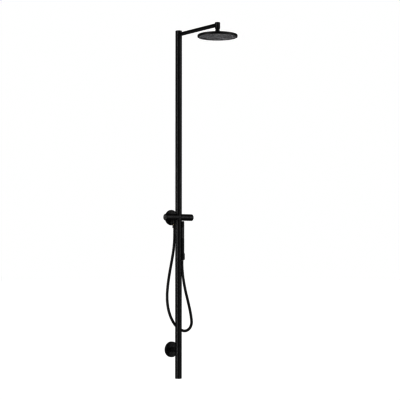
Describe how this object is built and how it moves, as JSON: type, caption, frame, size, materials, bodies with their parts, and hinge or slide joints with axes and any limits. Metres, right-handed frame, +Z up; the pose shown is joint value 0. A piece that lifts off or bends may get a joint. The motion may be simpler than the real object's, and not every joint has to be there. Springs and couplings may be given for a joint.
{
  "type": "rainfall shower column",
  "caption": "Slim matte black wall-mounted shower column with a crossing mixer bar, an overhead round rain head on an arm, and a stick hand shower on a looped hose.",
  "frame": {"origin": "centre of the mixer inlet's back face, on the wall", "axes": "+Z up along the column, +Y into the wall, +X to the right of a person who faces the wall"},
  "size_m": [0.2422, 0.572, 2.0535],
  "materials": {
    "black_metal": "matte black powder coat, fine texture",
    "black_plastic": "matte black moulded plastic",
    "grey_plastic": "dark grey moulded plastic, satin",
    "hose_black": "black smooth PVC hose, semi-matte",
    "silicone": "dark grey silicone nozzles",
    "brass": "machined",
    "steel": "plain",
    "seal_rubber": "matte"
  },
  "bodies": {
    "column": {"upper_rosette": "black_metal", "lower_rosette": "black_metal", "inlet_pipe": "black_metal", "mixer_body": "black_metal", "upper_column_tube": "black_metal", "lower_column_tube": "black_metal", "upper_column_cap": "black_metal", "lower_column_cap": "black_metal", "lower_standoff": "black_metal", "shower_arm": "black_metal", "arm_end_block": "black_metal", "swivel_nut": "black_metal", "hand_shower_holder": "black_metal", "hose_outlet_nut": "black_metal", "wall_inlet_base": "brass", "thermostat_nut": "brass", "diverter_nut": "brass", "inner_riser_pipe": "brass", "arm_socket": "brass", "hose_outlet_nipple": "brass", "inlet_screw_1": "steel", "inlet_screw_2": "steel", "inlet_screw_3": "steel", "lower_wall_plate": "steel", "lower_wall_screw_1": "steel", "lower_wall_screw_2": "steel", "lower_grub_screw": "steel", "arm_grub_screw": "steel", "holder_screw": "steel", "hot_check_valve": "black_plastic", "cold_check_valve": "black_plastic", "thermostat_cartridge": "black_plastic", "diverter_cartridge": "black_plastic", "hose_outlet_washer": "seal_rubber", "ball_seal": "seal_rubber", "shower_hose": "hose_black"},
    "temperature_handle": {"temperature_handle_shell": "black_metal", "temperature_handle_cap": "black_metal", "temperature_handle_spindle": "brass", "temperature_handle_insert": "black_plastic"},
    "safety_button": {"safety_button": "black_plastic"},
    "diverter_handle": {"diverter_handle_shell": "black_metal", "diverter_handle_cap": "black_metal", "diverter_handle_spindle": "brass", "diverter_handle_insert": "black_plastic"},
    "ball_seat": {"ball_seat": "black_plastic"},
    "ball_nipple": {"ball_nipple": "black_metal"},
    "rain_head": {"head_collar": "black_metal", "head_top_shell": "black_metal", "head_spray_plate": "grey_plastic", "head_nozzle_mat": "silicone"},
    "hand_shower": {"hand_shower_tube": "black_metal", "hand_shower_cap": "black_metal", "hose_cone_nut": "black_metal", "hand_shower_core": "black_plastic", "hand_spray_plate": "grey_plastic", "hand_nozzle_strip": "silicone", "hand_shower_nipple": "brass", "hand_shower_washer": "seal_rubber"}
  },
  "joints": [
    {"name": "temperature_turn", "type": "hinge", "parent": "column", "child": "temperature_handle", "pos_m": [0.06, -0.077, 0], "axis": [1, 0, 0], "range_deg": [-120, 45]},
    {"name": "safety_button_press", "type": "slide", "parent": "temperature_handle", "child": "safety_button", "axis": [0, 1, 0], "range_m": [0, 0.002], "stiffness_N_per_m": 800, "springref_m": -0.0005},
    {"name": "diverter_turn", "type": "hinge", "parent": "column", "child": "diverter_handle", "pos_m": [-0.06, -0.077, 0], "axis": [1, 0, 0], "range_deg": [-90, 90]},
    {"name": "head_tilt_x", "type": "hinge", "parent": "column", "child": "ball_seat", "pos_m": [0, -0.459, 1.058], "axis": [1, 0, 0], "range_deg": [-15, 15]},
    {"name": "head_tilt_y", "type": "hinge", "parent": "ball_seat", "child": "ball_nipple", "pos_m": [0, -0.459, 1.058], "axis": [0, 1, 0], "range_deg": [-15, 15]},
    {"name": "head_spin", "type": "hinge", "parent": "ball_nipple", "child": "rain_head", "pos_m": [0, -0.459, 1.016], "axis": [0, 0, 1], "continuous": true},
    {"name": "hand_shower_lift", "type": "slide", "parent": "column", "child": "hand_shower", "axis": [0, 0, 1], "range_m": [0, 0.045]}
  ]
}
